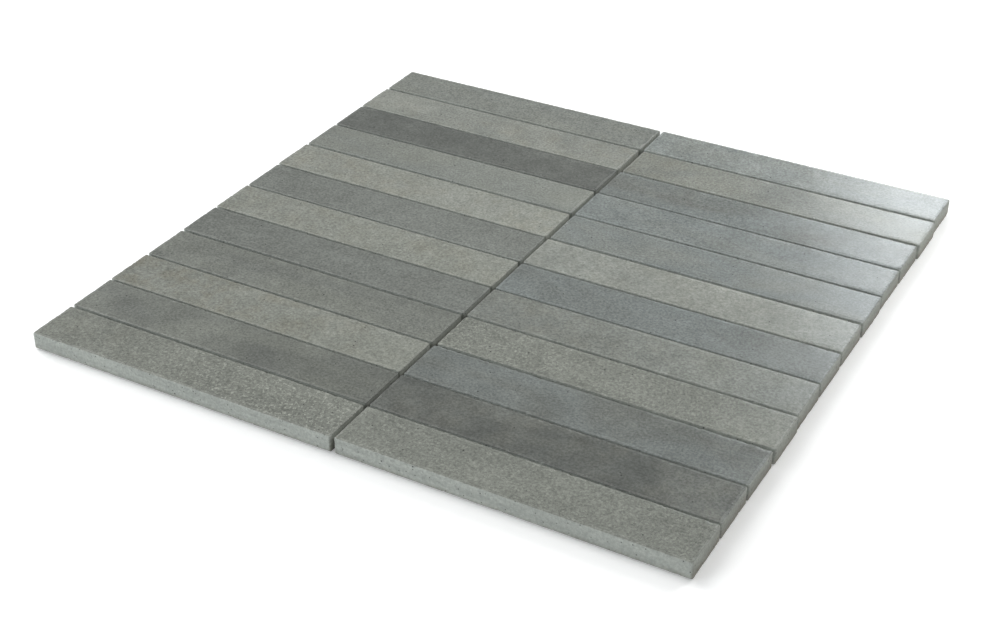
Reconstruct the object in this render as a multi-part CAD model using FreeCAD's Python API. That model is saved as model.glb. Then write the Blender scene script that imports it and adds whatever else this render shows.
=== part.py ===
# Mosaic tile sheet of honed stone strips, stacked in straight rows and glued to a mesh backing.
# Millimetres. X runs along the strips and Y across them, from the front row to the back row.
# Z is up, and the origin is on the underside, in the middle of the sheet.
import FreeCAD, Part
import math
import os

# The sheet's layout: a column of strips for each name, and straight rows with an open joint between
COLUMN_NAMES = ("left", "right")
ROWS = 12
ROW_JOINT = 1.0
COLUMN_JOINT = 1.6

# One strip of stone
STRIP_LENGTH = 148.4
STRIP_WIDTH = 24.0
STONE_THICKNESS = 7.5
CORNER_RADIUS = 0.8
ARRIS = 0.4

# The glass fibre mesh that the strips are glued to, as a plain thin layer
MESH_THICKNESS = 0.5
MESH_SETBACK = 2.0

# Hand laying: the most that a strip is shifted along and across its row, and the angle by which
# the wave that spreads each shift turns from one strip to the next
SHIFT_ALONG = 0.15
SHIFT_ACROSS = 0.15
WAVE_ALONG = math.radians(137.5)
WAVE_ACROSS = math.radians(98.0)

# Two strips were laid further to the right, so that their ends stand out from the edge
STANDING_OUT = ("strip_right_04", "strip_right_11")
OUT_BY = 0.6


def span(count, size, joint):
    """Length of a run of like pieces with a joint between each two."""
    return count * size + (count - 1) * joint


def centre(index, count, size, joint):
    """Middle of one piece of a run that is centred on the origin."""
    return (index - (count - 1) / 2.0) * (size + joint)


def is_upright(edge):
    """True for a straight vertical edge."""
    ends = [vertex.Point for vertex in edge.Vertexes]
    return len(ends) == 2 and (ends[1] - ends[0]).cross(FreeCAD.Vector(0, 0, 1)).Length < 1e-6


def stone_strip():
    """One strip at the origin: rounded vertical corners, and an arris round its honed top face."""
    corner = FreeCAD.Vector(-STRIP_LENGTH / 2.0, -STRIP_WIDTH / 2.0, MESH_THICKNESS)
    block = Part.makeBox(STRIP_LENGTH, STRIP_WIDTH, STONE_THICKNESS, corner)
    block = block.makeFillet(CORNER_RADIUS, [edge for edge in block.Edges if is_upright(edge)])
    top = MESH_THICKNESS + STONE_THICKNESS
    rim = [edge for edge in block.Edges if edge.BoundBox.ZMin > top - ARRIS / 2.0]
    return block.makeChamfer(ARRIS, rim)


def strip_places():
    """Where each strip lies: its place in the grid and its small shift, with the field centred."""
    columns = len(COLUMN_NAMES)
    places = {}
    for column, side in enumerate(COLUMN_NAMES):
        for row in range(ROWS):
            name = f"strip_{side}_{row + 1:02d}"
            step = row + column * ROWS
            x = centre(column, columns, STRIP_LENGTH, COLUMN_JOINT)
            y = centre(row, ROWS, STRIP_WIDTH, ROW_JOINT)
            shift_x = OUT_BY if name in STANDING_OUT else SHIFT_ALONG * math.sin(step * WAVE_ALONG)
            shift_y = SHIFT_ACROSS * math.sin(step * WAVE_ACROSS)
            places[name] = FreeCAD.Vector(x + shift_x, y + shift_y, 0)
    xs = [place.x for place in places.values()]
    ys = [place.y for place in places.values()]
    middle = FreeCAD.Vector((min(xs) + max(xs)) / 2.0, (min(ys) + max(ys)) / 2.0, 0)
    return {name: place - middle for name, place in places.items()}


def mesh_layer():
    """The mesh, cut a little smaller than the field of strips that it carries."""
    length = span(len(COLUMN_NAMES), STRIP_LENGTH, COLUMN_JOINT) - 2.0 * MESH_SETBACK
    depth = span(ROWS, STRIP_WIDTH, ROW_JOINT) - 2.0 * MESH_SETBACK
    corner = FreeCAD.Vector(-length / 2.0, -depth / 2.0, 0)
    return Part.makeBox(length, depth, MESH_THICKNESS, corner)


def build():
    """Every piece of the sheet by its name. Row 1 is the front row."""
    pieces = {"mesh_backing": mesh_layer()}
    pattern = stone_strip()
    for name, place in strip_places().items():
        strip = pattern.copy()
        strip.translate(place)
        pieces[name] = strip
    return pieces


os.makedirs("parts", exist_ok=True)
for name, shape in build().items():
    shape.exportStep(f"parts/{name}.step")
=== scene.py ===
"""A mosaic sheet of honed basalt strips on a glass fibre mesh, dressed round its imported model."""

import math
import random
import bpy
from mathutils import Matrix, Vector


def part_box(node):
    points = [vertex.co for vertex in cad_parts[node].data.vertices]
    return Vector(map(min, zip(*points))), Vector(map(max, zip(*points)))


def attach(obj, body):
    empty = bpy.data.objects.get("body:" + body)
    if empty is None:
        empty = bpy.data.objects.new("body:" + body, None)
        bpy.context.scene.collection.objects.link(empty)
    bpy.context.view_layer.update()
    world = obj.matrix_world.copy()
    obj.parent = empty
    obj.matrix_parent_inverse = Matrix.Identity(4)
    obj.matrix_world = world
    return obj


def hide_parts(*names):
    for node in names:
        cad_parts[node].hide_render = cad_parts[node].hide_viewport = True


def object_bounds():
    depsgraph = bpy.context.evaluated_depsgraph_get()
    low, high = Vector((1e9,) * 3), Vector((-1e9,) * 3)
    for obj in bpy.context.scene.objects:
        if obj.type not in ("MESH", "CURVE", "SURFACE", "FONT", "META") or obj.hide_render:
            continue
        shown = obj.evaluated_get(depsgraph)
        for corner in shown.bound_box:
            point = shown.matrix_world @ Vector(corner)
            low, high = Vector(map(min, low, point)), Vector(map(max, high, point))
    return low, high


bl_info = {
    "name": "Honed Stone Mosaic Sheet",
    "version": (1, 0, 0),
    "blender": (4, 5, 0),
    "location": "3D View > Sidebar > Mosaic Sheet",
    "description": "Models worn basalt strips and their woven backing on a packed mosaic sheet",
    "category": "Object",
}

from typing import NamedTuple

import bmesh
import bpy
from mathutils import Vector

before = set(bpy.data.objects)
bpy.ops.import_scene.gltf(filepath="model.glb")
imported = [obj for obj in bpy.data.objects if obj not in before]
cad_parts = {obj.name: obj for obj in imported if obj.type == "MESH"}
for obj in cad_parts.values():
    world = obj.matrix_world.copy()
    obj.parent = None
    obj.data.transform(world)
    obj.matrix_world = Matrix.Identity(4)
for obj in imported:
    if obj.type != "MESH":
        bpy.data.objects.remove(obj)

MM = 0.001
CAD_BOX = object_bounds()
STRIPS = sorted(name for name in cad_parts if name.startswith("strip_"))
BACKING = "mesh_backing"
BLANK = STRIPS[0]

# Places this close count as the same one, points this close are merged, and a cut this close to a
# point goes through it
SAME = 0.01 * MM
MERGED = 0.001 * MM
CUT_THROUGH = 0.0001 * MM

# The Mix node keeps its colour sockets at these places
MIX_A = 6
MIX_B = 7
MIX_OUT = 2


def linear(code):
    """A colour as linear red, green, blue and alpha from its sRGB hex code."""
    parts = [int(code[i:i + 2], 16) / 255 for i in (1, 3, 5)]
    return (*(c / 12.92 if c <= 0.04045 else ((c + 0.055) / 1.055) ** 2.4 for c in parts), 1.0)


class Look(NamedTuple):
    """How one strip of the stone looks: two shades of the palette, mixed by clouds, how patchy its
    tone and how worn its edges are, and the amounts of pale flakes, of brownish stain and of tone at
    its left and its right end."""

    shade: str
    clouds: str
    cloudy: float = 0.5
    patchy: float = 0.04
    worn: float = 0.5
    flakes: tuple = (0.03, 0.03)
    stain: tuple = (0.0, 0.0)
    tone: tuple = (1.0, 1.0)


# Row 01 is the front row
LOOKS = {
    "strip_left_01": Look("mid", "ash", 0.4, worn=0.8, flakes=(0.3, 1.0), stain=(0.1, 0.0)),
    "strip_left_02": Look("slate", "mid", 0.7, 0.08, tone=(1.1, 0.85)),
    "strip_left_03": Look(
        "ash", "pale", 0.5, 0.06, flakes=(0.3, 0.4), stain=(0.6, 0.1), tone=(0.9, 1.1)
    ),
    "strip_left_04": Look("slate", "mid", 0.8, 0.1, flakes=(0.1, 0.2), tone=(1.05, 1.05)),
    "strip_left_05": Look("slate", "mist", 0.4, tone=(1.0, 1.1)),
    "strip_left_06": Look("ash", "pale", 0.4, flakes=(0.3, 0.4), stain=(0.2, 0.2), tone=(1.0, 1.1)),
    "strip_left_07": Look("slate", "mist", 0.4, tone=(1.0, 1.15)),
    "strip_left_08": Look(
        "pale", "ash", 0.4, 0.06, flakes=(0.4, 0.4), stain=(0.3, 0.3), tone=(1.0, 1.15)
    ),
    "strip_left_09": Look("mist", "ash", 0.5, flakes=(0.1, 0.1), tone=(0.95, 1.15)),
    "strip_left_10": Look("charcoal", "slate", 0.3, 0.08),
    "strip_left_11": Look("pale", "mist", 0.5, 0.06, flakes=(0.2, 0.2), stain=(0.1, 0.3)),
    "strip_left_12": Look("mist", "ash", 0.4, 0.06),
    "strip_right_01": Look("mid", "ash", 0.3, worn=0.6, flakes=(0.5, 0.4), tone=(1.1, 1.05)),
    "strip_right_02": Look(
        "charcoal", "slate", 0.8, 0.1, worn=0.6, stain=(0.1, 0.1), tone=(0.9, 1.05)
    ),
    "strip_right_03": Look("slate", "blue", 0.5, 0.08, worn=0.8, flakes=(0.1, 0.1)),
    "strip_right_04": Look("mid", "ash", 0.5, flakes=(0.7, 0.3), tone=(1.0, 1.1)),
    "strip_right_05": Look(
        "mist", "ash", 0.4, 0.08, flakes=(0.15, 0.15), stain=(0.2, 0.0), tone=(0.95, 1.1)
    ),
    "strip_right_06": Look("blue", "slate", 0.4, tone=(1.0, 1.05)),
    "strip_right_07": Look(
        "pale", "mist", 0.4, 0.06, flakes=(0.15, 0.15), stain=(0.1, 0.0), tone=(1.15, 1.05)
    ),
    "strip_right_08": Look("blue", "mist", 0.7, tone=(1.1, 1.0)),
    "strip_right_09": Look("blue", "mist", 0.4, tone=(1.1, 0.95)),
    "strip_right_10": Look("blue", "slate", 0.6, tone=(1.0, 1.05)),
    "strip_right_11": Look("mist", "ash", 0.6, 0.08, stain=(0.2, 0.0), tone=(1.0, 1.05)),
    "strip_right_12": Look("mist", "blue", 0.5, 0.08, tone=(1.2, 1.1)),
}


def length(name, description, default_mm):
    """A length property with its default in millimetres."""
    return bpy.props.FloatProperty(
        name=name,
        description=description,
        default=default_mm * MM,
        min=0.0,
        precision=5,
        unit="LENGTH",
        subtype="DISTANCE",
    )


def colour(name, description, code):
    """A colour property with its default as an sRGB hex code."""
    return bpy.props.FloatVectorProperty(
        name=name,
        description=description,
        default=linear(code),
        size=4,
        min=0.0,
        max=1.0,
        subtype="COLOR",
    )


class MosaicStoneSettings(bpy.types.PropertyGroup):
    """Edges and shades of the basalt strips."""

    corner: length("Corner", "Radius of a strip's four upright corners", 0.8)
    arris: length("Arris", "Width of the eased edge round the honed face", 0.4)
    under_arris: length("Under arris", "Width of the rubbed edge round the underside", 0.3)
    worn_band: length("Worn band", "How far from an edge the stone is worn or chipped", 1.6)
    wander: length("Edge wander", "Most that an edge is worn back along its length", 0.24)
    chip: length("Chip depth", "Depth of the deepest nicks in an edge", 0.6)
    charcoal: colour("Charcoal", "Darkest stone", "#5c5f5c")
    slate: colour("Slate", "Dark stone", "#6a6d69")
    mid: colour("Mid grey", "Plain middle grey stone", "#747771")
    blue: colour("Blue grey", "Cool middle grey stone", "#747a79")
    mist: colour("Mist grey", "Neutral middle grey stone", "#787c78")
    ash: colour("Ash", "Light stone", "#7e817a")
    pale: colour("Pale olive", "Palest stone, a little green", "#868983")
    # This warm colour serves the brownish stain and also the painted shade along the foot of the
    # sides
    warm_stain_and_shade: colour("Warm stain", "Brownish patches", "#7e7867")
    sawn: colour("Sawn stone", "Dry sawn or broken stone, lighter than the honed face", "#b6bab4")
    flake: colour("Light flake", "Pale flakes of feldspar", "#aaada4")
    adhesive: colour("Adhesive", "Dried white glue on the underside", "#c9c9bd")
    # Painted shade inside the small pores
    pore_shade: colour("Pit", "Inside of the small dark pores", "#2c2e2c")


class MosaicMeshSettings(bpy.types.PropertyGroup):
    """The woven glass fibre mesh on the underside."""

    spacing: length("Spacing", "Distance from thread to thread", 5.0)
    flat_width: length("Flat width", "Width of the flat threads that run along the strips", 0.8)
    flat_depth: length("Flat depth", "Thickness of the flat threads", 0.12)
    twist_width: length("Twisted width", "Thickness of each of the two twisted threads", 0.18)
    twist_swing: length("Twist swing", "How far the twisted threads swing to each side", 0.22)
    fibre: colour("Coated fibre", "Glass fibre with its white coating", "#dcdcd2")


class MosaicStageSettings(bpy.types.PropertyGroup):
    """Camera, lamps and floor."""

    camera_place: bpy.props.FloatVectorProperty(
        name="Camera place",
        description="Where the camera stands",
        default=(0.3098, -0.5727, 0.3932),
        unit="LENGTH",
        subtype="TRANSLATION",
    )
    aim: bpy.props.FloatVectorProperty(
        name="Aim",
        description="Point of the sheet in the middle of the picture",
        default=(0.0155, -0.0470, 0.008),
        unit="LENGTH",
        subtype="TRANSLATION",
    )
    lens: bpy.props.FloatProperty(
        name="Lens",
        description="Focal length on a sensor 36 mm wide",
        default=61.43,
        unit="CAMERA",
    )
    floor: colour("Floor", "Plain pale floor", "#f4f5f6")
    cool: colour("Cool light", "Daylight from behind and in front", "#f1f7fb")
    plain: colour("Plain light", "Light from the left and right", "#fffefc")
    room: colour("Room light", "Even light from the room", "#fcfcfa")


def add(tree, kind, inputs=None, **settings):
    """Adds one node with its settings; an input is a value or another node's output."""
    made = tree.nodes.new(kind)
    for name, value in settings.items():
        setattr(made, name, value)
    for socket, value in (inputs or {}).items():
        if isinstance(value, bpy.types.NodeSocket):
            tree.links.new(value, made.inputs[socket])
        else:
            made.inputs[socket].default_value = value
    return made


def empty_material(name):
    """A material with no nodes yet, and its tree."""
    material = bpy.data.materials.new(name)
    material.use_nodes = True
    material.node_tree.nodes.clear()
    return material, material.node_tree


def per(size_mm):
    """Scale of a pattern whose features are this many millimetres apart."""
    return 1 / (size_mm * MM)


class Figure(NamedTuple):
    """What the finishes of one strip share: its own coordinates, how far right a place is on it,
    and the clouds of its stain, mottle, grain and patches."""

    own: bpy.types.NodeSocket
    rightward: bpy.types.NodeSocket
    stain: bpy.types.NodeSocket
    mottle: bpy.types.NodeSocket
    grain: bpy.types.NodeSocket
    patches: bpy.types.NodeSocket


# Size of the features in millimetres, detail and roughness of the stain, the mottle and the grain.
# The grain's crystals are a few tenths of a millimetre, drawn about 1 mm so that they show.
STAIN = (11, 5.0, 0.65)
MOTTLE = (5.0, 5.0, 0.7)
GRAIN = (1.1, 3.0, 0.75)

# Few clouds reach their full level, so the second shade's share is raised by this
CLOUD_GAIN = 1.4

# Roughness of the honed face where its sheen is strongest and weakest, and of sawn stone
HONED_ROUGHNESS = (0.21, 0.27)
SAWN_ROUGHNESS = 0.85
BASALT_IOR = 1.55

# How far sawn stone goes towards its dry shade
SAWN_SHARE = 0.65

# Painted shade along the foot of a side and of an end, darker and warmer towards the bottom: how
# high above the foot it reaches, in millimetres, and its share where it is darkest, which is below
# the last height. Its upper edge wanders by the stain.
FOOT_SHADE_TOPS = (3.5, 8.5)
FOOT_SHADE_SHARES = (0.35, 0.65)
FOOT_SHADE_FULL = 1.5
FOOT_SHADE_WANDER = 3.0

# Adhesive: how far its smears spread from a thread and where they fade out, in millimetres, and
# how well they cover
GLUE_SPREAD = 2.5
GLUE_FADE = (0.1, 0.7)
GLUE_SHARE = 0.8

# How much of the rough stone's dry, pale look each of these has: the arris; the arris round the rim
# of the sheet, dry broken stone made fully pale, partly as painted light on the sheet's outer top
# edges; the chips; and the ends in the column joint, kept darker than sawn stone elsewhere as painted
# shade in the joint. From the share of the arris on, stone has no sheen.
ARRIS_DRY = 0.05
LIT_RIM_ARRIS_DRY = 1.0
CHIP_DRY = 0.3
SHADED_JOINT_END_DRY = 0.6


def clouded(tree, figure, look, shades):
    """Two shades of stone in clouds about 25 mm across, drawn out along the strip as the slab was
    sawn, and brownish stain in patches, more at one end of some strips."""
    drawn_out = add(tree, "ShaderNodeMapping", {"Vector": figure.own, "Scale": (0.45, 1.0, 1.0)})
    clouds = add(
        tree,
        "ShaderNodeTexNoise",
        {"Vector": drawn_out.outputs["Vector"], "Scale": per(26), "Detail": 4.0, "Distortion": 0.7},
    ).outputs["Fac"]
    cloud_share = add(
        tree,
        "ShaderNodeMapRange",
        {"Value": clouds, "From Min": 0.38, "From Max": 0.62, "To Max": look.cloudy * CLOUD_GAIN},
    ).outputs["Result"]
    stone = add(
        tree,
        "ShaderNodeMix",
        {0: cloud_share, MIX_A: getattr(shades, look.shade), MIX_B: getattr(shades, look.clouds)},
        data_type="RGBA",
    ).outputs[MIX_OUT]
    stain_share = add(
        tree,
        "ShaderNodeMapRange",
        {"Value": figure.stain, "From Min": 0.45, "From Max": 0.7, "To Max": 1.0},
    ).outputs["Result"]
    stain_place = add(
        tree,
        "ShaderNodeMapRange",
        {"Value": figure.rightward, "To Min": look.stain[0], "To Max": look.stain[1]},
    ).outputs["Result"]
    stained = add(
        tree, "ShaderNodeMath", {0: stain_share, 1: stain_place}, operation="MULTIPLY"
    ).outputs["Value"]
    return add(
        tree, "ShaderNodeMix", {0: stained, MIX_A: stone, MIX_B: shades.warm_stain_and_shade}, data_type="RGBA"
    ).outputs[MIX_OUT]


def toned(tree, stone, figure, look):
    """The stone made lighter and darker by its mottle, its grain, its patches and its two ends."""
    tone = add(
        tree,
        "ShaderNodeMapRange",
        {"Value": figure.mottle, "From Min": 0.35, "From Max": 0.65, "To Min": 0.92, "To Max": 1.08},
    ).outputs["Result"]
    grain_tone = add(
        tree,
        "ShaderNodeMapRange",
        {"Value": figure.grain, "From Min": 0.35, "From Max": 0.65, "To Min": 0.72, "To Max": 1.28},
    ).outputs["Result"]
    end_tone = add(
        tree,
        "ShaderNodeMapRange",
        {"Value": figure.rightward, "To Min": look.tone[0], "To Max": look.tone[1]},
    ).outputs["Result"]
    patch_tone = add(
        tree,
        "ShaderNodeMapRange",
        {
            "Value": figure.patches,
            "From Min": 0.35,
            "From Max": 0.65,
            "To Min": 1.0 - look.patchy,
            "To Max": 1.0 + look.patchy,
        },
    ).outputs["Result"]
    for share in (grain_tone, end_tone, patch_tone):
        tone = add(
            tree, "ShaderNodeMath", {0: tone, 1: share}, operation="MULTIPLY"
        ).outputs["Value"]
    return add(
        tree, "ShaderNodeVectorMath", {0: stone, "Scale": tone}, operation="SCALE"
    ).outputs["Vector"]


def flaked(tree, stone, figure, look, shades):
    """The stone with pale ragged flakes of feldspar, about a millimetre long, in drifts and
    thicker at one end."""
    flakes = add(
        tree,
        "ShaderNodeTexNoise",
        {
            "Vector": figure.own,
            "Scale": per(1.2),
            "Detail": 3.0,
            "Roughness": 0.7,
            "Distortion": 0.8,
        },
    ).outputs["Fac"]
    shape = add(
        tree, "ShaderNodeMapRange", {"Value": flakes, "From Min": 0.54, "From Max": 0.61}
    ).outputs["Result"]
    amount = add(
        tree,
        "ShaderNodeMapRange",
        {"Value": figure.rightward, "To Min": look.flakes[0], "To Max": look.flakes[1]},
    ).outputs["Result"]
    drift = add(
        tree,
        "ShaderNodeMapRange",
        {"Value": figure.mottle, "From Min": 0.4, "From Max": 0.6, "To Min": 0.5, "To Max": 1.0},
    ).outputs["Result"]
    flake = shape
    for share in (amount, drift):
        flake = add(
            tree, "ShaderNodeMath", {0: flake, 1: share}, operation="MULTIPLY"
        ).outputs["Value"]
    return add(
        tree, "ShaderNodeMix", {0: flake, MIX_A: stone, MIX_B: shades.flake}, data_type="RGBA"
    ).outputs[MIX_OUT]


def sawn(tree, stone, figure, shades):
    """The same stone where it is sawn or chipped: dry and paler, with faint lines of the saw along
    the sides and small pores that the honed face has lost, painted dark as the shade inside them."""
    dry = add(
        tree,
        "ShaderNodeMix",
        {0: SAWN_SHARE, MIX_A: stone, MIX_B: shades.sawn},
        data_type="RGBA",
    ).outputs[MIX_OUT]
    swept = add(tree, "ShaderNodeMapping", {"Vector": figure.own, "Scale": (0.06, 0.06, 1.0)})
    saw_lines = add(
        tree,
        "ShaderNodeTexNoise",
        {"Vector": swept.outputs["Vector"], "Scale": per(2.4), "Detail": 3.0},
    ).outputs["Fac"]
    saw_tone = add(
        tree,
        "ShaderNodeMapRange",
        {"Value": saw_lines, "From Min": 0.35, "From Max": 0.65, "To Min": 0.92, "To Max": 1.08},
    ).outputs["Result"]
    dry_grain = add(
        tree,
        "ShaderNodeMapRange",
        {"Value": figure.grain, "From Min": 0.35, "From Max": 0.65, "To Min": 0.86, "To Max": 1.14},
    ).outputs["Result"]
    tone = add(
        tree, "ShaderNodeMath", {0: saw_tone, 1: dry_grain}, operation="MULTIPLY"
    ).outputs["Value"]
    dry = add(
        tree, "ShaderNodeVectorMath", {0: dry, "Scale": tone}, operation="SCALE"
    ).outputs["Vector"]
    pores = add(
        tree, "ShaderNodeTexVoronoi", {"Vector": figure.own, "Scale": per(2.2), "Randomness": 1.0}
    ).outputs["Distance"]
    pore = add(
        tree,
        "ShaderNodeMapRange",
        {"Value": pores, "From Min": 0.17, "From Max": 0.07, "To Max": 0.85},
    ).outputs["Result"]
    # Pores filled with painted shade
    return add(
        tree, "ShaderNodeMix", {0: pore, MIX_A: dry, MIX_B: shades.pore_shade}, data_type="RGBA"
    ).outputs[MIX_OUT]


def shaded_foot(tree, sides, figure, normal, height, foot, shades):
    """The sawn sides with painted shade along their bottom edge, darker, warmer and higher up on the
    two ends.
    """
    facing = add(tree, "ShaderNodeSeparateXYZ", {"Vector": normal}).outputs["X"]
    end_on = add(tree, "ShaderNodeMath", {0: facing}, operation="ABSOLUTE").outputs["Value"]
    side_top, end_top = [foot + top * MM for top in FOOT_SHADE_TOPS]
    shade_top = add(
        tree, "ShaderNodeMapRange", {"Value": end_on, "To Min": side_top, "To Max": end_top}
    ).outputs["Result"]
    deepest_shade = add(
        tree,
        "ShaderNodeMapRange",
        {"Value": end_on, "To Min": FOOT_SHADE_SHARES[0], "To Max": FOOT_SHADE_SHARES[1]},
    ).outputs["Result"]
    shade_line = add(
        tree,
        "ShaderNodeMath",
        {0: figure.stain, 1: FOOT_SHADE_WANDER * MM, 2: height},
        operation="MULTIPLY_ADD",
    ).outputs["Value"]
    foot_shade = add(
        tree,
        "ShaderNodeMapRange",
        {
            "Value": shade_line,
            "From Min": shade_top,
            "From Max": foot + FOOT_SHADE_FULL * MM,
            "To Max": deepest_shade,
        },
    ).outputs["Result"]
    # Painted shade: the sides darkened and warmed towards their foot
    return add(
        tree, "ShaderNodeMix", {0: foot_shade, MIX_A: sides, MIX_B: shades.warm_stain_and_shade}, data_type="RGBA"
    ).outputs[MIX_OUT]


def glued(tree, sides, figure, places, foot, thread_spacing, shades):
    """The sawn stone with adhesive on its underside, smeared along the threads of the mesh, which
    lie on a grid round the origin."""
    along, depth, height = places
    from_pair, from_flat = [
        add(
            tree, "ShaderNodeMath", {0: place, 1: thread_spacing / 2}, operation="PINGPONG"
        ).outputs["Value"]
        for place in (along, depth)
    ]
    from_thread = add(
        tree, "ShaderNodeMath", {0: from_pair, 1: from_flat}, operation="MINIMUM"
    ).outputs["Value"]
    smear = add(
        tree,
        "ShaderNodeMath",
        {0: figure.stain, 1: -GLUE_SPREAD * MM, 2: from_thread},
        operation="MULTIPLY_ADD",
    ).outputs["Value"]
    glue = add(
        tree,
        "ShaderNodeMapRange",
        {
            "Value": smear,
            "From Min": -GLUE_FADE[0] * MM,
            "From Max": -GLUE_FADE[1] * MM,
            "To Max": GLUE_SHARE,
        },
    ).outputs["Result"]
    underneath = add(
        tree, "ShaderNodeMath", {0: height, 1: foot + 2 * SAME}, operation="LESS_THAN"
    ).outputs["Value"]
    glue = add(
        tree, "ShaderNodeMath", {0: glue, 1: underneath}, operation="MULTIPLY"
    ).outputs["Value"]
    return add(
        tree, "ShaderNodeMix", {0: glue, MIX_A: sides, MIX_B: shades.adhesive}, data_type="RGBA"
    ).outputs[MIX_OUT]


def basalt(name, look, shades, box, offset, thread_spacing):
    """Basalt, sawn on all sides and honed on its face: fine mineral grain under soft clouds, with a
    dull sheen on the honed face and dry, paler stone on the sawn sides and in chips."""
    material, tree = empty_material(name)
    low, high = box
    coordinates = add(tree, "ShaderNodeTexCoord").outputs
    place = coordinates["Object"]
    own = add(tree, "ShaderNodeMapping", {"Vector": place, "Location": offset}).outputs["Vector"]
    places = add(tree, "ShaderNodeSeparateXYZ", {"Vector": place}).outputs
    rightward = add(
        tree, "ShaderNodeMapRange", {"Value": places["X"], "From Min": low.x, "From Max": high.x}
    ).outputs["Result"]
    stain, mottle, grain = [
        add(
            tree,
            "ShaderNodeTexNoise",
            {"Vector": own, "Scale": per(size), "Detail": detail, "Roughness": roughness},
        ).outputs["Fac"]
        for size, detail, roughness in (STAIN, MOTTLE, GRAIN)
    ]
    patches = add(
        tree,
        "ShaderNodeTexNoise",
        {"Vector": own, "Scale": per(17), "Detail": 2.0, "Roughness": 0.5, "Distortion": 0.3},
    ).outputs["Fac"]
    figure = Figure(own, rightward, stain, mottle, grain, patches)
    honed = clouded(tree, figure, look, shades)
    honed = toned(tree, honed, figure, look)
    honed = flaked(tree, honed, figure, look, shades)
    sides = sawn(tree, honed, figure, shades)
    # Painted shade along the foot of the sides and ends
    sides = shaded_foot(tree, sides, figure, coordinates["Normal"], places["Z"], low.z, shades)
    sides = glued(tree, sides, figure, places, low.z, thread_spacing, shades)

    # Open pores, about one to every 3 square centimetres, painted dark as the shade inside them
    pores = add(
        tree, "ShaderNodeTexVoronoi", {"Vector": own, "Scale": per(6.0), "Randomness": 1.0}
    ).outputs["Distance"]
    pore = add(
        tree, "ShaderNodeMapRange", {"Value": pores, "From Min": 0.07, "From Max": 0.035}
    ).outputs["Result"]
    # The rough share also carries the painted shade of the joint ends and the painted light of the
    # rim arris
    rough_share = add(
        tree, "ShaderNodeAttribute", attribute_name="sawn", attribute_type="GEOMETRY"
    ).outputs["Fac"]
    surface = add(
        tree, "ShaderNodeMix", {0: rough_share, MIX_A: honed, MIX_B: sides}, data_type="RGBA"
    ).outputs[MIX_OUT]
    # Pores filled with painted shade
    surface = add(
        tree, "ShaderNodeMix", {0: pore, MIX_A: surface, MIX_B: shades.pore_shade}, data_type="RGBA"
    ).outputs[MIX_OUT]
    sheen = add(
        tree,
        "ShaderNodeMapRange",
        {
            "Value": patches,
            "From Min": 0.35,
            "From Max": 0.65,
            "To Min": HONED_ROUGHNESS[0],
            "To Max": HONED_ROUGHNESS[1],
        },
    ).outputs["Result"]
    roughness = add(
        tree,
        "ShaderNodeMapRange",
        {
            "Value": rough_share,
            "From Max": ARRIS_DRY,
            "To Min": sheen,
            "To Max": SAWN_ROUGHNESS,
        },
    ).outputs["Result"]
    relief = add(
        tree, "ShaderNodeMath", {0: grain, 1: pore}, operation="SUBTRACT"
    ).outputs["Value"]
    bump = add(
        tree, "ShaderNodeBump", {"Height": relief, "Strength": 0.25, "Distance": 0.12 * MM}
    ).outputs["Normal"]
    shader = add(
        tree,
        "ShaderNodeBsdfPrincipled",
        {"Base Color": surface, "Roughness": roughness, "Normal": bump, "IOR": BASALT_IOR},
    )
    add(tree, "ShaderNodeOutputMaterial", {"Surface": shader.outputs["BSDF"]})
    return material


def coated_fibre(shade):
    """Glass fibre yarn, woven open and dipped: white, with the dull shine of its coating."""
    material, tree = empty_material("coated_glass_fibre")
    place = add(tree, "ShaderNodeTexCoord").outputs["Object"]
    strands = add(
        tree, "ShaderNodeTexNoise", {"Vector": place, "Scale": per(0.6), "Detail": 3.0}
    ).outputs["Fac"]
    tone = add(
        tree,
        "ShaderNodeMapRange",
        {"Value": strands, "From Min": 0.3, "From Max": 0.7, "To Min": 0.85, "To Max": 1.05},
    ).outputs["Result"]
    yarn = add(
        tree, "ShaderNodeVectorMath", {0: shade[:3], "Scale": tone}, operation="SCALE"
    ).outputs["Vector"]
    bump = add(
        tree, "ShaderNodeBump", {"Height": strands, "Strength": 0.4, "Distance": 0.05 * MM}
    ).outputs["Normal"]
    shader = add(
        tree, "ShaderNodeBsdfPrincipled", {"Base Color": yarn, "Roughness": 0.55, "Normal": bump}
    )
    add(tree, "ShaderNodeOutputMaterial", {"Surface": shader.outputs["BSDF"]})
    return material


def start_piece():
    """Object mode with nothing selected, ready for a new primitive."""
    if bpy.context.object and bpy.context.object.mode != "OBJECT":
        bpy.ops.object.mode_set(mode="OBJECT")
    bpy.ops.object.select_all(action="DESELECT")


def choose(kind, test):
    """In edit mode, selects only the edges or faces whose every corner passes a test of its place."""
    bpy.ops.mesh.select_mode(type=kind)
    bpy.ops.mesh.select_all(action="DESELECT")
    shape = bmesh.from_edit_mesh(bpy.context.object.data)
    for part in shape.edges if kind == "EDGE" else shape.faces:
        if all(test(corner.co) for corner in part.verts):
            part.select_set(True)
    shape.select_flush_mode()
    bmesh.update_edit_mesh(bpy.context.object.data)


def unit(axis):
    """The direction of an axis from its letter."""
    return Vector((axis == "X", axis == "Y", axis == "Z"))


def cut_across(axis, places, test=None):
    """In edit mode, cuts the mesh, or the faces that pass a test, by planes square to an axis."""
    normal = unit(axis)
    for place in places:
        if test:
            choose("FACE", test)
        else:
            bpy.ops.mesh.select_all(action="SELECT")
        bpy.ops.mesh.bisect(plane_co=normal * place, plane_no=normal, threshold=CUT_THROUGH)


def steps(low, high, step):
    """Evenly spaced places between two ends, neither end among them."""
    count = max(1, round((high - low) / step))
    return [low + (high - low) * i / count for i in range(1, count)]


# Where a blank is cut so that its edges can wear, by distance from the edge in millimetres
FINE_STEP = 0.5
SIDE_CUTS = (0.8, 1.5, 2.6, 5.5)
DEPTH_CUTS = (0.5, 1.3, 2.6)
END_ZONE = 1.6


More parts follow.
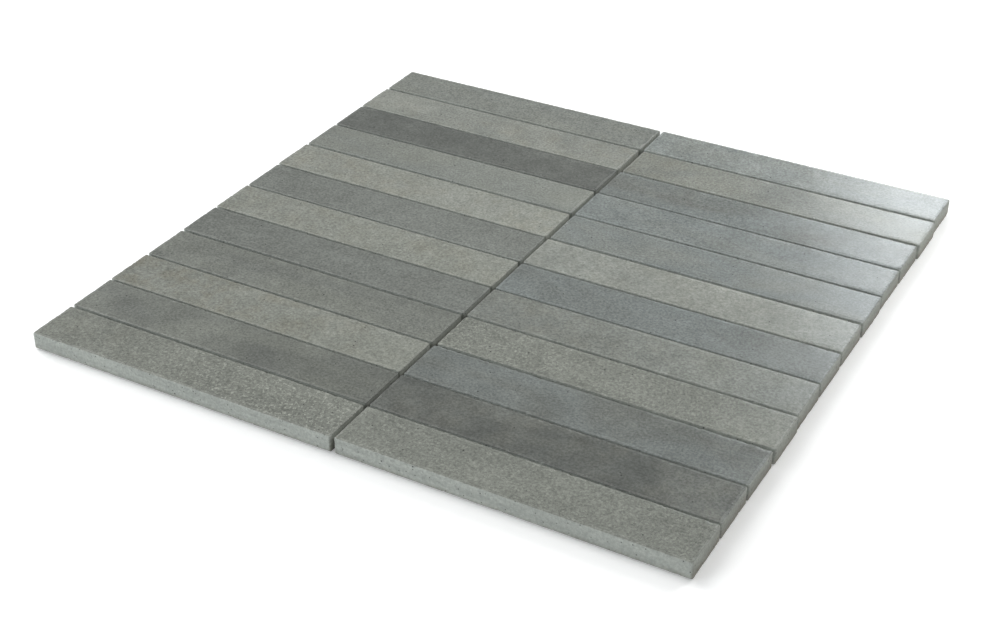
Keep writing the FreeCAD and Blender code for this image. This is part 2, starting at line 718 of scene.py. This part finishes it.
def strip_blank(size, settings):
    """One new strip round the origin, its underside at zero, cut finely enough to be worn."""
    start_piece()
    bpy.ops.mesh.primitive_cube_add(size=1, location=(0, 0, size.z / 2), scale=size)
    blank = bpy.context.object
    bpy.ops.object.transform_apply(location=True, rotation=True, scale=True)
    half = size / 2
    bpy.ops.object.mode_set(mode="EDIT")
    bpy.ops.mesh.select_mode(type="EDGE")
    bpy.ops.mesh.select_all(action="DESELECT")
    shape = bmesh.from_edit_mesh(blank.data)
    for edge in shape.edges:
        low, high = sorted(corner.co.z for corner in edge.verts)
        edge.select_set(high - low > half.z)
    bmesh.update_edit_mesh(blank.data)
    bpy.ops.mesh.bevel(offset=settings.corner, segments=3, affect="EDGES")
    choose("EDGE", lambda co: co.z > size.z - SAME)
    bpy.ops.mesh.bevel(offset=settings.arris, segments=2, affect="EDGES")
    choose("EDGE", lambda co: co.z < SAME)
    bpy.ops.mesh.bevel(offset=settings.under_arris, segments=1, affect="EDGES")
    ends = half.x - END_ZONE * MM
    cut_across("X", (-ends, ends))
    sides = [half.y - cut * MM for cut in SIDE_CUTS]
    cut_across("Y", [-side for side in sides] + sides)
    depths = [cut * MM for cut in DEPTH_CUTS]
    cut_across("Z", depths + [size.z - depth for depth in depths])
    fine_y = steps(-half.y, half.y, FINE_STEP * MM)
    cut_across("Y", fine_y, lambda co: co.x > ends - SAME)
    cut_across("Y", fine_y, lambda co: co.x < SAME - ends)
    cut_across("X", steps(-half.x, half.x, FINE_STEP * MM))
    bpy.ops.object.mode_set(mode="OBJECT")
    band = blank.vertex_groups.new(name="worn_band")
    for vertex in blank.data.vertices:
        co = vertex.co
        gaps = sorted((half.x - abs(co.x), half.y - abs(co.y), min(co.z, size.z - co.z)))
        weight = 1 - gaps[1] / settings.worn_band
        if weight > 0:
            band.add([vertex.index], weight, "REPLACE")
    return blank


def wear_texture(name, size_mm, start, full):
    """A cloud pattern for wear, which begins and is deepest at these levels of the clouds."""
    texture = bpy.data.textures.new(name, "CLOUDS")
    texture.noise_scale = size_mm * MM
    texture.noise_depth = 3
    texture.use_color_ramp = True
    untouched, deepest = texture.color_ramp.elements
    untouched.position, untouched.color = start, (0, 0, 0, 1)
    deepest.position, deepest.color = full, (1, 1, 1, 1)
    return texture


def wear(strip, patterns, amount):
    """Wears a strip's edges back by each pattern, inwards only."""
    for texture, depth in patterns:
        worn = strip.modifiers.new(texture.name, "DISPLACE")
        worn.texture = texture
        worn.texture_coords = "LOCAL"
        worn.vertex_group = "worn_band"
        worn.mid_level = 0.0
        worn.strength = -depth * amount
        bpy.ops.object.modifier_apply(modifier=worn.name)


# How far the rim reaches in from the sides of the sheet, and the column joint's zone to each side
# of the middle, in millimetres
RIM = 1.6
JOINT_ZONE = 1.6

# How far stone is worn back, in millimetres, where its sheen has gone, where a chip begins to look
# dry and where it has its full share of that
DULL_DEPTH = 0.3
CHIP_DEPTH = 0.12
FULL_CHIP_DEPTH = 0.21


def mark_rough(strip, fresh, arris):
    """Marks a worn strip's rough stone, from the places its points had when fresh: all of it below
    the honed face and its arris, less on the ends in the column joint as painted shade, some of it
    on the arris, all of it on the rim arris, partly as painted light, and some where it has chipped."""
    low, high = CAD_BOX
    rough = strip.data.attributes.new("sawn", "FLOAT", "POINT")
    for vertex, before, mark in zip(strip.data.vertices, fresh, rough.data):
        below = high.z - before.z
        if below > arris + SAME:
            # The ends in the column joint get less of the pale dry look: painted shade in the joint
            mark.value = SHADED_JOINT_END_DRY if abs(before.x) < JOINT_ZONE * MM else 1.0
            continue
        from_rim = min(before.x - low.x, high.x - before.x, before.y - low.y, high.y - before.y)
        dry = 0.0
        if below > SAME:
            # The arris round the rim is fully pale, partly as painted light on the sheet's outer top
            # edges
            dry = LIT_RIM_ARRIS_DRY if from_rim < RIM * MM else ARRIS_DRY
        moved = (vertex.co - before).length / MM
        dulled = ARRIS_DRY * min(1.0, moved / DULL_DEPTH)
        chipped = CHIP_DRY * min(1.0, (moved - CHIP_DEPTH) / (FULL_CHIP_DEPTH - CHIP_DEPTH))
        mark.value = max(dry, dulled, chipped)


class MOSAIC_OT_strips(bpy.types.Operator):
    """Model every stone strip at its place on the sheet, with worn edges and its own stone"""

    bl_idname = "mosaic.strips"
    bl_label = "Stone Strips"

    def execute(self, context):
        settings = context.scene.mosaic_stone
        thread_spacing = context.scene.mosaic_mesh.spacing
        draw = random.Random(7)
        low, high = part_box(BLANK)
        blank = strip_blank(high - low, settings)
        patterns = [
            (wear_texture("edge_wander", size_mm=5.0, start=0.2, full=0.8), settings.wander),
            (wear_texture("edge_chips", size_mm=1.6, start=0.58, full=0.8), settings.chip),
        ]
        for name in STRIPS:
            low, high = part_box(name)
            start_piece()
            blank.select_set(True)
            context.view_layer.objects.active = blank
            bpy.ops.object.duplicate()
            strip = context.object
            strip.name = f"stone_{name}"
            middle = (low + high) / 2
            bpy.ops.transform.translate(value=(middle.x, middle.y, low.z))
            bpy.ops.object.transform_apply(location=True, rotation=True, scale=True)
            look = LOOKS[name]
            fresh = [vertex.co.copy() for vertex in strip.data.vertices]
            wear(strip, patterns, look.worn)
            mark_rough(strip, fresh, settings.arris)
            bpy.ops.object.shade_smooth_by_angle(angle=math.radians(15))
            offset = [draw.uniform(-1, 1) for axis in range(3)]
            strip.data.materials.clear()
            stone = basalt(f"basalt_{name}", look, settings, (low, high), offset, thread_spacing)
            strip.data.materials.append(stone)
            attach(strip, "root")
            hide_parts(name)
        bpy.data.objects.remove(blank)
        return {"FINISHED"}


# A flat thread's width where a pair pinches it, as a share, the steps of one whole twist and the
# sides of a twisted thread
PINCH = 0.75
TWIST_STEPS = 6
TWIST_SIDES = 3


def repeat(piece, count, offset):
    """Repeats a piece in a row, joined where one copy meets the next."""
    row = piece.modifiers.new("row", "ARRAY")
    row.count = count
    row.use_relative_offset = False
    row.use_constant_offset = True
    row.constant_offset_displace = offset
    row.use_merge_vertices = True
    row.merge_threshold = MERGED
    bpy.ops.object.modifier_apply(modifier=row.name)


def trim(axis, low, high):
    """In edit mode, cuts the piece off square at both ends and closes the cut threads."""
    normal = unit(axis)
    for place, side in ((low, "clear_inner"), (high, "clear_outer")):
        bpy.ops.mesh.select_all(action="SELECT")
        bpy.ops.mesh.bisect(plane_co=normal * place, plane_no=normal, use_fill=True, **{side: True})


class MOSAIC_OT_mesh(bpy.types.Operator):
    """Weave the open glass fibre mesh under the strips: flat threads, bound by twisted pairs"""

    bl_idname = "mosaic.mesh"
    bl_label = "Backing Mesh"

    def execute(self, context):
        settings = context.scene.mosaic_mesh
        low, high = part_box(BACKING)
        pairs_each_side = int((high.x - settings.flat_width) / settings.spacing)
        flats_each_side = int((high.y - settings.flat_width) / settings.spacing)
        material = coated_fibre(settings.fibre)
        for name, weave in (
            ("flat_threads", self.flat_threads),
            ("twisted_threads", self.twisted_threads),
        ):
            piece = weave(settings, low, high, pairs_each_side, flats_each_side)
            piece.name = f"mesh_{name}"
            piece.data.materials.append(material)
            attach(piece, "root")
            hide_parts(BACKING)
        return {"FINISHED"}

    def flat_threads(self, settings, low, high, pairs_each_side, flats_each_side):
        """Flat threads along the strips, pinched where a pair binds them."""
        cell = settings.spacing
        first = Vector((-(pairs_each_side + 1) * cell, -flats_each_side * cell, high.z / 2))
        start_piece()
        bpy.ops.mesh.primitive_cube_add(
            size=1, location=first, scale=(cell, settings.flat_width, settings.flat_depth)
        )
        thread = bpy.context.object
        bpy.ops.object.transform_apply(location=True, rotation=True, scale=True)
        bpy.ops.object.mode_set(mode="EDIT")
        ends = cell / 2 - SAME
        choose("FACE", lambda co: co.x < first.x - ends)
        bpy.ops.mesh.delete(type="FACE")
        choose("FACE", lambda co: co.x > first.x + ends)
        bpy.ops.mesh.delete(type="FACE")
        cut_across("X", [first.x])
        choose("EDGE", lambda co: abs(co.x - first.x) < SAME)
        bpy.ops.transform.resize(value=(1.0, PINCH, 1.0), center_override=first)
        bpy.ops.object.mode_set(mode="OBJECT")
        repeat(thread, 2 * pairs_each_side + 3, (cell, 0, 0))
        bpy.ops.object.mode_set(mode="EDIT")
        trim("X", low.x, high.x)
        bpy.ops.object.mode_set(mode="OBJECT")
        repeat(thread, 2 * flats_each_side + 1, (0, cell, 0))
        return thread

    def twisted_threads(self, settings, low, high, pairs_each_side, flats_each_side):
        """Pairs of thin threads across the strips, twisted half round between two flat threads."""
        cell = settings.spacing
        start = (-pairs_each_side * cell, -(flats_each_side + 1) * cell, high.z / 2)
        strands = []
        for half_turn in (0, math.pi):
            path = self.twist(settings, start, half_turn)
            start_piece()
            bpy.ops.mesh.primitive_circle_add(
                vertices=TWIST_SIDES,
                radius=settings.twist_width / 2,
                location=path[0],
                rotation=(math.pi / 2, 0, 0),
            )
            strand = bpy.context.object
            bpy.ops.object.transform_apply(location=True, rotation=True, scale=True)
            bpy.ops.object.mode_set(mode="EDIT")
            bpy.ops.mesh.select_all(action="SELECT")
            for here, there in zip(path, path[1:]):
                bpy.ops.mesh.extrude_region_move(TRANSFORM_OT_translate={"value": there - here})
            bpy.ops.object.mode_set(mode="OBJECT")
            strands.append(strand)
        for strand in strands:
            strand.select_set(True)
        bpy.ops.object.join()
        pair = bpy.context.object
        repeat(pair, flats_each_side + 1, (0, 2 * cell, 0))
        bpy.ops.object.mode_set(mode="EDIT")
        trim("Y", low.y, high.y)
        bpy.ops.mesh.select_all(action="SELECT")
        bpy.ops.mesh.normals_make_consistent(inside=False)
        bpy.ops.object.mode_set(mode="OBJECT")
        repeat(pair, 2 * pairs_each_side + 1, (cell, 0, 0))
        bpy.ops.object.shade_smooth_by_angle(angle=math.radians(50))
        return pair

    def twist(self, settings, start, half_turn):
        """Points of one thread of a pair along one whole twist, which takes two cells."""
        x, y, z = start
        lift = (settings.flat_depth + settings.twist_width) / 2
        points = []
        for step in range(TWIST_STEPS + 1):
            turn = step * 2 * math.pi / TWIST_STEPS + half_turn
            place = y + step * 2 * settings.spacing / TWIST_STEPS
            swing = settings.twist_swing * math.sin(turn)
            points.append(Vector((x + swing, place, z + lift * math.cos(turn))))
        return points


class Lamp(NamedTuple):
    """A soft rectangular lamp that faces the sheet: its place and its width and height in metres,
    its power in watts and which of the stage's lights it gives."""

    place: tuple
    size: tuple
    power: float
    light: str


LAMPS = {
    "back_window": Lamp((-0.37, 2.5, 1.1), (0.36, 1.1), 8.1, "cool"),
    "left_lamp": Lamp((-1.7, 0.25, 1.45), (1.0, 2.0), 38.0, "plain"),
    "front_lamp": Lamp((-1.2, -1.4, 0.6), (1.2, 1.2), 17.5, "cool"),
    "right_lamp": Lamp((0.35, 0.46, 0.45), (0.3, 0.3), 2.4, "plain"),
}

# The floor's radius in metres, the light that only the camera sees on it, so that it is white, and
# the level of the room's light, which the camera sees as white
FLOOR_RADIUS = 8.0
FLOOR_LIFT = 0.22
ROOM_LEVEL = 0.3

# The width of the camera's sensor in millimetres
SENSOR_WIDTH = 36.0


class MOSAIC_OT_stage(bpy.types.Operator):
    """Set the floor, the lamps and the camera round the sheet"""

    bl_idname = "mosaic.stage"
    bl_label = "Stage"

    def execute(self, context):
        settings = context.scene.mosaic_stage
        context.scene.view_settings.view_transform = "Standard"
        self.floor(settings.floor)
        context.scene.world = self.room(settings.room)
        for name, lamp in LAMPS.items():
            self.lamp(name, lamp, getattr(settings, lamp.light))
        context.scene.camera = self.camera(settings)
        return {"FINISHED"}

    def floor(self, shade):
        """A plain pale floor, white to the camera, that keeps the sheet's shadow."""
        start_piece()
        bpy.ops.mesh.primitive_circle_add(vertices=64, radius=FLOOR_RADIUS, fill_type="NGON")
        floor = bpy.context.object
        floor.name = "floor"
        material, tree = empty_material("pale_floor")
        shader = add(tree, "ShaderNodeBsdfPrincipled", {"Base Color": shade, "Roughness": 0.5})
        seen = add(tree, "ShaderNodeLightPath").outputs["Is Camera Ray"]
        lift = add(tree, "ShaderNodeMath", {0: seen, 1: FLOOR_LIFT}, operation="MULTIPLY")
        glow = add(tree, "ShaderNodeEmission", {"Strength": lift.outputs["Value"]})
        both = add(tree, "ShaderNodeAddShader", {0: shader.outputs[0], 1: glow.outputs[0]})
        add(tree, "ShaderNodeOutputMaterial", {"Surface": both.outputs["Shader"]})
        floor.data.materials.append(material)

    def room(self, light):
        """A world that lights the sheet evenly and is white to the camera."""
        world = bpy.data.worlds.new("studio")
        world.use_nodes = True
        tree = world.node_tree
        tree.nodes.clear()
        seen = add(tree, "ShaderNodeLightPath").outputs["Is Camera Ray"]
        level = add(
            tree, "ShaderNodeMapRange", {"Value": seen, "To Min": ROOM_LEVEL, "To Max": 1.0}
        ).outputs["Result"]
        sky = add(tree, "ShaderNodeBackground", {"Color": light, "Strength": level})
        add(tree, "ShaderNodeOutputWorld", {"Surface": sky.outputs["Background"]})
        return world

    def lamp(self, name, lamp, tint):
        """One of the lamps, turned towards the sheet."""
        bpy.ops.object.light_add(type="AREA", location=lamp.place)
        made = bpy.context.object
        made.name = name
        made.data.shape = "RECTANGLE"
        made.data.size, made.data.size_y = lamp.size
        made.data.energy = lamp.power
        made.data.color = tint[:3]
        made.rotation_euler = (-Vector(lamp.place)).to_track_quat("-Z", "Y").to_euler()

    def camera(self, settings):
        """The camera at its place, aimed at the sheet."""
        bpy.ops.object.camera_add(location=settings.camera_place)
        camera = bpy.context.object
        sight = Vector(settings.aim) - Vector(settings.camera_place)
        camera.rotation_euler = sight.to_track_quat("-Z", "Y").to_euler()
        camera.data.lens = settings.lens
        camera.data.sensor_width = SENSOR_WIDTH
        return camera


class MOSAIC_PT_panel(bpy.types.Panel):
    """Sidebar panel with the sheet's settings and one button for each step"""

    bl_label = "Mosaic Sheet"
    bl_idname = "MOSAIC_PT_panel"
    bl_space_type = "VIEW_3D"
    bl_region_type = "UI"
    bl_category = "Mosaic Sheet"

    def draw(self, context):
        for group, operator in GROUPS:
            settings = getattr(context.scene, group)
            column = self.layout.column(align=True)
            for name in settings.__annotations__:
                column.prop(settings, name)
            self.layout.operator(operator)


GROUPS = (
    ("mosaic_stone", "mosaic.strips"),
    ("mosaic_mesh", "mosaic.mesh"),
    ("mosaic_stage", "mosaic.stage"),
)
CLASSES = (
    MosaicStoneSettings,
    MosaicMeshSettings,
    MosaicStageSettings,
    MOSAIC_OT_strips,
    MOSAIC_OT_mesh,
    MOSAIC_OT_stage,
    MOSAIC_PT_panel,
)


def register():
    """Adds the sheet's settings, steps and panel to Blender."""
    for made in CLASSES:
        bpy.utils.register_class(made)
    bpy.types.Scene.mosaic_stone = bpy.props.PointerProperty(type=MosaicStoneSettings)
    bpy.types.Scene.mosaic_mesh = bpy.props.PointerProperty(type=MosaicMeshSettings)
    bpy.types.Scene.mosaic_stage = bpy.props.PointerProperty(type=MosaicStageSettings)


def unregister():
    """Takes them out again."""
    del bpy.types.Scene.mosaic_stone
    del bpy.types.Scene.mosaic_mesh
    del bpy.types.Scene.mosaic_stage
    for made in reversed(CLASSES):
        bpy.utils.unregister_class(made)


def main():
    """Builds the sheet's looks step by step."""
    register()
    bpy.ops.mosaic.strips()
    bpy.ops.mosaic.mesh()
    bpy.ops.mosaic.stage()
    bpy.context.view_layer.update()


if __name__ == "__main__":
    main()
